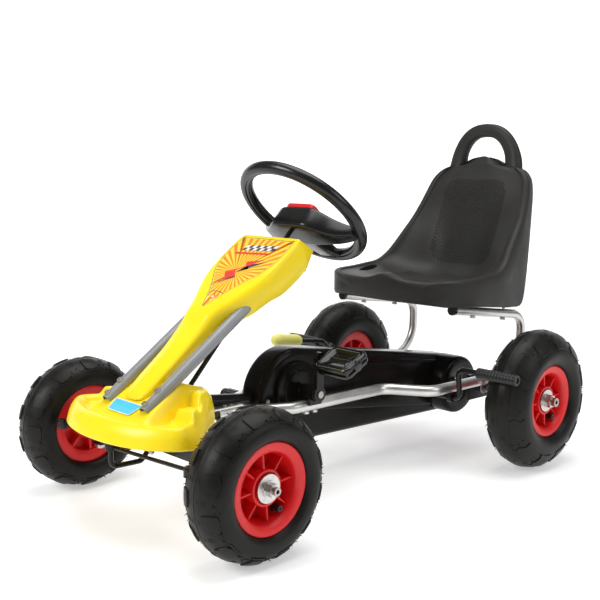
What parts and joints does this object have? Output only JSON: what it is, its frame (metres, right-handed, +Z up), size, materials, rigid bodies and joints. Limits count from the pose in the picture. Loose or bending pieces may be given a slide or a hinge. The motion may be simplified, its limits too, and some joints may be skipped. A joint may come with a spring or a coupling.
{
  "type": "pedal go kart",
  "caption": "Child's pedal go kart with black bucket seat, yellow fairings, red rims and pneumatic tyres.",
  "frame": {"origin": "on the ground under the middle of the whole kart", "axes": "+X the driver's left, -Y forward, +Z up"},
  "size_m": [0.574, 0.978, 0.649],
  "materials": {
    "black_steel": "semi-gloss",
    "silver_steel": "satin",
    "grey_steel": "satin",
    "zinc": "bright zinc",
    "axle_steel": "turned",
    "chain_steel": "oiled",
    "nylon": "matte",
    "yellow_plastic": "gloss",
    "red_plastic": "gloss",
    "black_plastic": "matte",
    "seat_plastic": "satin",
    "cover_plastic": "satin",
    "wheel_plastic": "satin",
    "grip_plastic": "satin",
    "tyre_rubber": "matte",
    "tube_rubber": "matte",
    "pad_rubber": "matte",
    "decal_print": "gloss print",
    "label_print": "gloss print"
  },
  "bodies": {
    "frame": {"front_axle": "black_steel", "kingpins": "zinc", "steering_bushes": "nylon", "main_beam": "black_steel", "rail_clamp_plate": "silver_steel", "side_rail_left": "silver_steel", "side_rail_right": "silver_steel", "column_strut_left": "grey_steel", "column_strut_right": "grey_steel", "strut_screws": "zinc", "column_head_plate": "black_steel", "nose_fairing": "yellow_plastic", "column_cover": "yellow_plastic", "decal_panel": "decal_print", "front_label": "label_print", "crank_bearing_brackets": "black_steel", "bearing_bushes": "nylon", "frame_bolts": "zinc", "chain_cover_left": "cover_plastic", "chain_cover_right": "cover_plastic", "cover_screws": "zinc", "chain": "chain_steel", "rear_bearing_brackets": "black_steel", "seat_tube_left": "silver_steel", "seat_tube_right": "silver_steel", "tube_plugs": "black_plastic", "seat": "seat_plastic", "seat_bolts": "zinc", "brake_hangers": "black_steel"},
    "steering": {"steering_shaft": "black_steel", "steering_wheel": "wheel_plastic", "steering_wheel_cap": "red_plastic"},
    "knuckle_left_body": {"knuckle_left": "black_steel", "front_hub_nuts_left": "zinc"},
    "knuckle_right_body": {"knuckle_right": "black_steel", "front_hub_nuts_right": "zinc"},
    "tie_rod_left_body": {"tie_rod_left": "black_steel"},
    "tie_rod_right_body": {"tie_rod_right": "black_steel"},
    "front_wheel_left": {"front_tyre_left": "tyre_rubber", "front_rim_left": "red_plastic", "front_inner_tube_left": "tube_rubber", "front_bushes_left": "nylon"},
    "front_wheel_right": {"front_tyre_right": "tyre_rubber", "front_rim_right": "red_plastic", "front_inner_tube_right": "tube_rubber", "front_bushes_right": "nylon"},
    "rear_wheels": {"rear_axle": "axle_steel", "rear_sprocket": "chain_steel", "rear_tyres": "tyre_rubber", "rear_rims": "red_plastic", "rear_inner_tubes": "tube_rubber", "rear_hub_nuts": "zinc"},
    "crank": {"crank_axle": "axle_steel", "chainring": "chain_steel", "crank_arms": "black_steel"},
    "pedal_left_body": {"pedal_left": "black_plastic"},
    "pedal_right_body": {"pedal_right": "black_plastic"},
    "brake": {"brake_rod": "black_steel", "brake_pads": "pad_rubber", "brake_grip": "grip_plastic"}
  },
  "joints": [
    {"name": "steering_turn", "type": "hinge", "parent": "frame", "child": "steering", "pos_m": [0, -0.3655, 0.135], "axis": [0, 0.6691, 0.7431], "range_deg": [-25, 25]},
    {"name": "knuckle_left_turn", "type": "hinge", "parent": "frame", "child": "knuckle_left_body", "pos_m": [0.166, -0.3655, 0.11], "axis": [0, 0, 1], "range_deg": [-24, 24]},
    {"name": "tie_rod_left_turn", "type": "hinge", "parent": "knuckle_left_body", "child": "tie_rod_left_body", "pos_m": [0.166, -0.4355, 0.13], "axis": [0, 0, 1], "range_deg": [-24, 24]},
    {"name": "front_wheel_left_spin", "type": "hinge", "parent": "knuckle_left_body", "child": "front_wheel_left", "pos_m": [0.224, -0.3655, 0.11], "axis": [1, 0, 0], "continuous": true},
    {"name": "knuckle_right_turn", "type": "hinge", "parent": "frame", "child": "knuckle_right_body", "pos_m": [-0.166, -0.3655, 0.11], "axis": [0, 0, 1], "range_deg": [-24, 24]},
    {"name": "tie_rod_right_turn", "type": "hinge", "parent": "knuckle_right_body", "child": "tie_rod_right_body", "pos_m": [-0.166, -0.4355, 0.13], "axis": [0, 0, 1], "range_deg": [-24, 24]},
    {"name": "front_wheel_right_spin", "type": "hinge", "parent": "knuckle_right_body", "child": "front_wheel_right", "pos_m": [-0.224, -0.3655, 0.11], "axis": [1, 0, 0], "continuous": true},
    {"name": "rear_axle_spin", "type": "hinge", "parent": "frame", "child": "rear_wheels", "pos_m": [0, 0.3175, 0.13], "axis": [1, 0, 0], "continuous": true},
    {"name": "crank_spin", "type": "hinge", "parent": "frame", "child": "crank", "pos_m": [0, -0.0985, 0.171], "axis": [1, 0, 0], "continuous": true},
    {"name": "pedal_left_spin", "type": "hinge", "parent": "crank", "child": "pedal_left_body", "pos_m": [0.123, -0.0985, 0.233], "axis": [1, 0, 0], "continuous": true},
    {"name": "pedal_right_spin", "type": "hinge", "parent": "crank", "child": "pedal_right_body", "pos_m": [-0.123, -0.0985, 0.109], "axis": [1, 0, 0], "continuous": true},
    {"name": "brake_swing", "type": "hinge", "parent": "frame", "child": "brake", "pos_m": [0, 0.1985, 0.131], "axis": [1, 0, 0], "range_deg": [0, 12]}
  ],
  "couplings": [
    {"joint": "knuckle_left_turn", "follows": "steering_turn", "ratio": 0.94},
    {"joint": "tie_rod_left_turn", "follows": "steering_turn", "ratio": -0.94},
    {"joint": "knuckle_right_turn", "follows": "steering_turn", "ratio": 0.94},
    {"joint": "tie_rod_right_turn", "follows": "steering_turn", "ratio": -0.94},
    {"joint": "crank_spin", "follows": "rear_axle_spin", "ratio": 0.64286}
  ]
}
